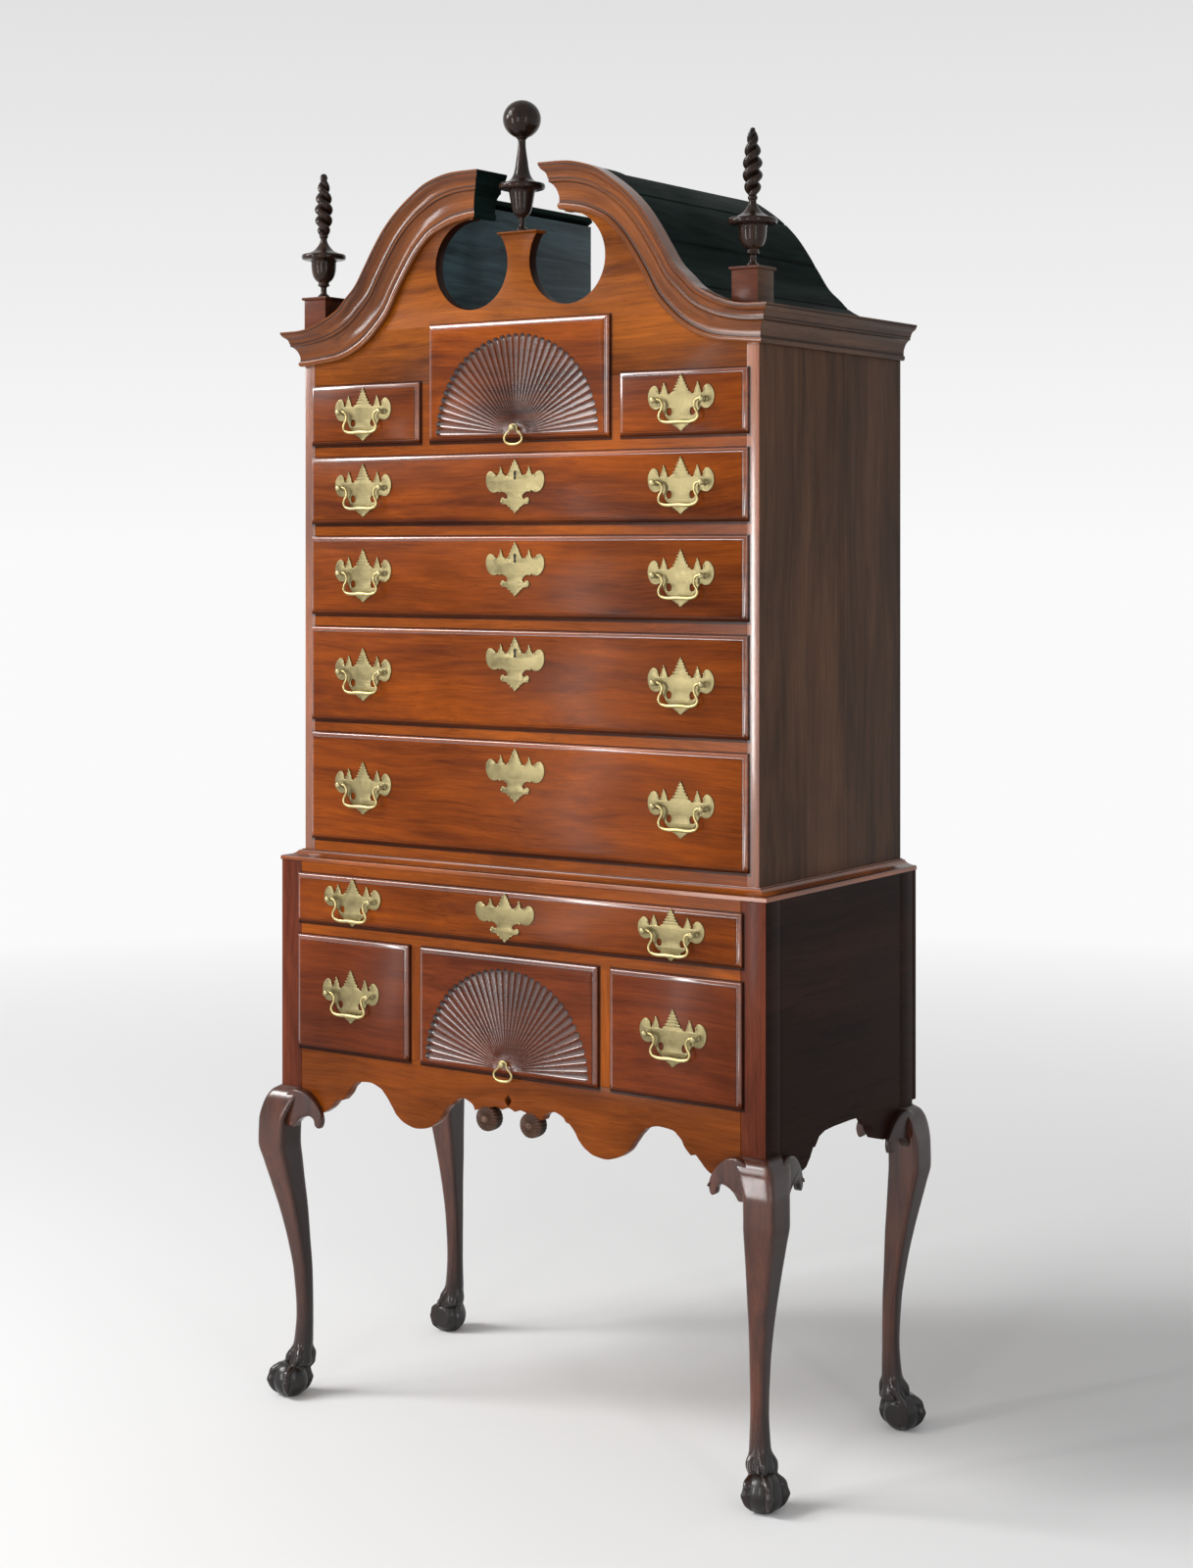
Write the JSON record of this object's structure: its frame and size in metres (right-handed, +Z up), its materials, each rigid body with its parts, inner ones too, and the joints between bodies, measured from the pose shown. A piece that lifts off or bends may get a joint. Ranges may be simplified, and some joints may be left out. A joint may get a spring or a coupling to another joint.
{
  "type": "highboy",
  "caption": "Bonnet-top highboy with a swan-neck pediment, carved fan drawers, brass bail pulls and cabriole legs on claw-and-ball feet.",
  "frame": {"origin": "on the floor under the centre of the overall box", "axes": "+Z up, +X to the right seen from the front, drawers open towards -Y"},
  "size_m": [1.0278, 0.523, 2.1812],
  "materials": {
    "mahogany": "polished reddish-brown mahogany",
    "dark_mahogany": "polished dark mahogany, weathered darker on the sides",
    "turned_wood": "dark varnished turned wood",
    "bonnet_paint": "black-green painted boards",
    "pine": "unfinished pine",
    "brass": "polished cast brass"
  },
  "bodies": {
    "case": {"leg_front_left": "dark_mahogany", "leg_front_right": "dark_mahogany", "leg_rear_left": "dark_mahogany", "leg_rear_right": "dark_mahogany", "front_apron": "mahogany", "lower_side_left": "dark_mahogany", "lower_side_right": "dark_mahogany", "lower_top_rail": "mahogany", "lower_middle_rail": "mahogany", "lower_back": "pine", "lower_divider_left": "mahogany", "lower_divider_right": "mahogany", "waist_moulding": "mahogany", "upper_side_left": "dark_mahogany", "upper_side_right": "dark_mahogany", "upper_back": "pine", "upper_bottom": "mahogany", "drawer_blade_1": "mahogany", "drawer_blade_2": "mahogany", "drawer_blade_3": "mahogany", "top_row_frame": "mahogany", "pediment_board": "mahogany", "swan_neck_left": "mahogany", "swan_neck_right": "mahogany", "cornice_return_left": "dark_mahogany", "cornice_return_right": "dark_mahogany", "bonnet_roof_left": "bonnet_paint", "bonnet_roof_right": "bonnet_paint", "plinth_left": "dark_mahogany", "plinth_right": "dark_mahogany", "finial_left": "turned_wood", "finial_right": "turned_wood", "finial_centre": "turned_wood"},
    "lower_drawer_left": {"lower_drawer_left": "mahogany"},
    "lower_drawer_right": {"lower_drawer_right": "mahogany"},
    "lower_drawer_centre": {"lower_drawer_centre": "mahogany"},
    "lower_long_drawer": {"lower_long_drawer": "mahogany"},
    "long_drawer_4": {"long_drawer_4": "mahogany"},
    "long_drawer_3": {"long_drawer_3": "mahogany"},
    "long_drawer_2": {"long_drawer_2": "mahogany"},
    "long_drawer_1": {"long_drawer_1": "mahogany"},
    "top_drawer_left": {"top_drawer_left": "mahogany"},
    "top_drawer_right": {"top_drawer_right": "mahogany"},
    "top_drawer_centre": {"top_drawer_centre": "mahogany"},
    "bail_lower_drawer_left": {"bail_lower_drawer_left": "brass"},
    "bail_lower_drawer_right": {"bail_lower_drawer_right": "brass"},
    "bail_lower_long_drawer_left": {"bail_lower_long_drawer_left": "brass"},
    "bail_lower_long_drawer_right": {"bail_lower_long_drawer_right": "brass"},
    "bail_long_drawer_4_left": {"bail_long_drawer_4_left": "brass"},
    "bail_long_drawer_4_right": {"bail_long_drawer_4_right": "brass"},
    "bail_long_drawer_3_left": {"bail_long_drawer_3_left": "brass"},
    "bail_long_drawer_3_right": {"bail_long_drawer_3_right": "brass"},
    "bail_long_drawer_2_left": {"bail_long_drawer_2_left": "brass"},
    "bail_long_drawer_2_right": {"bail_long_drawer_2_right": "brass"},
    "bail_long_drawer_1_left": {"bail_long_drawer_1_left": "brass"},
    "bail_long_drawer_1_right": {"bail_long_drawer_1_right": "brass"},
    "bail_top_drawer_left": {"bail_top_drawer_left": "brass"},
    "bail_top_drawer_right": {"bail_top_drawer_right": "brass"},
    "ring_lower_drawer_centre": {"ring_lower_drawer_centre": "brass"},
    "ring_top_drawer_centre": {"ring_top_drawer_centre": "brass"}
  },
  "joints": [
    {"name": "lower_drawer_left_slide", "type": "slide", "parent": "case", "child": "lower_drawer_left", "axis": [0, -1, 0], "range_m": [0, 0.38]},
    {"name": "lower_drawer_right_slide", "type": "slide", "parent": "case", "child": "lower_drawer_right", "axis": [0, -1, 0], "range_m": [0, 0.38]},
    {"name": "lower_drawer_centre_slide", "type": "slide", "parent": "case", "child": "lower_drawer_centre", "axis": [0, -1, 0], "range_m": [0, 0.38]},
    {"name": "lower_long_drawer_slide", "type": "slide", "parent": "case", "child": "lower_long_drawer", "axis": [0, -1, 0], "range_m": [0, 0.38]},
    {"name": "long_drawer_4_slide", "type": "slide", "parent": "case", "child": "long_drawer_4", "axis": [0, -1, 0], "range_m": [0, 0.36]},
    {"name": "long_drawer_3_slide", "type": "slide", "parent": "case", "child": "long_drawer_3", "axis": [0, -1, 0], "range_m": [0, 0.36]},
    {"name": "long_drawer_2_slide", "type": "slide", "parent": "case", "child": "long_drawer_2", "axis": [0, -1, 0], "range_m": [0, 0.36]},
    {"name": "long_drawer_1_slide", "type": "slide", "parent": "case", "child": "long_drawer_1", "axis": [0, -1, 0], "range_m": [0, 0.36]},
    {"name": "top_drawer_left_slide", "type": "slide", "parent": "case", "child": "top_drawer_left", "axis": [0, -1, 0], "range_m": [0, 0.36]},
    {"name": "top_drawer_right_slide", "type": "slide", "parent": "case", "child": "top_drawer_right", "axis": [0, -1, 0], "range_m": [0, 0.36]},
    {"name": "top_drawer_centre_slide", "type": "slide", "parent": "case", "child": "top_drawer_centre", "axis": [0, -1, 0], "range_m": [0, 0.36]},
    {"name": "bail_lower_drawer_left_swing", "type": "hinge", "parent": "lower_drawer_left", "child": "bail_lower_drawer_left", "pos_m": [-0.3215, -0.24743, 0.70425], "axis": [-1, 0, 0], "range_deg": [0, 110]},
    {"name": "bail_lower_drawer_right_swing", "type": "hinge", "parent": "lower_drawer_right", "child": "bail_lower_drawer_right", "pos_m": [0.3215, -0.24743, 0.70425], "axis": [-1, 0, 0], "range_deg": [0, 110]},
    {"name": "bail_lower_long_drawer_left_swing", "type": "hinge", "parent": "lower_long_drawer", "child": "bail_lower_long_drawer_left", "pos_m": [-0.318, -0.24743, 0.86285], "axis": [-1, 0, 0], "range_deg": [0, 110]},
    {"name": "bail_lower_long_drawer_right_swing", "type": "hinge", "parent": "lower_long_drawer", "child": "bail_lower_long_drawer_right", "pos_m": [0.318, -0.24743, 0.86285], "axis": [-1, 0, 0], "range_deg": [0, 110]},
    {"name": "bail_long_drawer_4_left_swing", "type": "hinge", "parent": "long_drawer_4", "child": "bail_long_drawer_4_left", "pos_m": [-0.318, -0.21943, 1.0528], "axis": [-1, 0, 0], "range_deg": [0, 110]},
    {"name": "bail_long_drawer_4_right_swing", "type": "hinge", "parent": "long_drawer_4", "child": "bail_long_drawer_4_right", "pos_m": [0.318, -0.21943, 1.0528], "axis": [-1, 0, 0], "range_deg": [0, 110]},
    {"name": "bail_long_drawer_3_left_swing", "type": "hinge", "parent": "long_drawer_3", "child": "bail_long_drawer_3_left", "pos_m": [-0.318, -0.21943, 1.2447], "axis": [-1, 0, 0], "range_deg": [0, 110]},
    {"name": "bail_long_drawer_3_right_swing", "type": "hinge", "parent": "long_drawer_3", "child": "bail_long_drawer_3_right", "pos_m": [0.318, -0.21943, 1.2447], "axis": [-1, 0, 0], "range_deg": [0, 110]},
    {"name": "bail_long_drawer_2_left_swing", "type": "hinge", "parent": "long_drawer_2", "child": "bail_long_drawer_2_left", "pos_m": [-0.318, -0.21943, 1.4116], "axis": [-1, 0, 0], "range_deg": [0, 110]},
    {"name": "bail_long_drawer_2_right_swing", "type": "hinge", "parent": "long_drawer_2", "child": "bail_long_drawer_2_right", "pos_m": [0.318, -0.21943, 1.4116], "axis": [-1, 0, 0], "range_deg": [0, 110]},
    {"name": "bail_long_drawer_1_left_swing", "type": "hinge", "parent": "long_drawer_1", "child": "bail_long_drawer_1_left", "pos_m": [-0.318, -0.21943, 1.5555], "axis": [-1, 0, 0], "range_deg": [0, 110]},
    {"name": "bail_long_drawer_1_right_swing", "type": "hinge", "parent": "long_drawer_1", "child": "bail_long_drawer_1_right", "pos_m": [0.318, -0.21943, 1.5555], "axis": [-1, 0, 0], "range_deg": [0, 110]},
    {"name": "bail_top_drawer_left_swing", "type": "hinge", "parent": "top_drawer_left", "child": "bail_top_drawer_left", "pos_m": [-0.3185, -0.21943, 1.6839], "axis": [-1, 0, 0], "range_deg": [0, 110]},
    {"name": "bail_top_drawer_right_swing", "type": "hinge", "parent": "top_drawer_right", "child": "bail_top_drawer_right", "pos_m": [0.3185, -0.21943, 1.6839], "axis": [-1, 0, 0], "range_deg": [0, 110]},
    {"name": "ring_lower_drawer_centre_swing", "type": "hinge", "parent": "lower_drawer_centre", "child": "ring_lower_drawer_centre", "pos_m": [0, -0.24458, 0.629], "axis": [-1, 0, 0], "range_deg": [0, 90]},
    {"name": "ring_top_drawer_centre_swing", "type": "hinge", "parent": "top_drawer_centre", "child": "ring_top_drawer_centre", "pos_m": [0, -0.21658, 1.6539], "axis": [-1, 0, 0], "range_deg": [0, 90]}
  ]
}
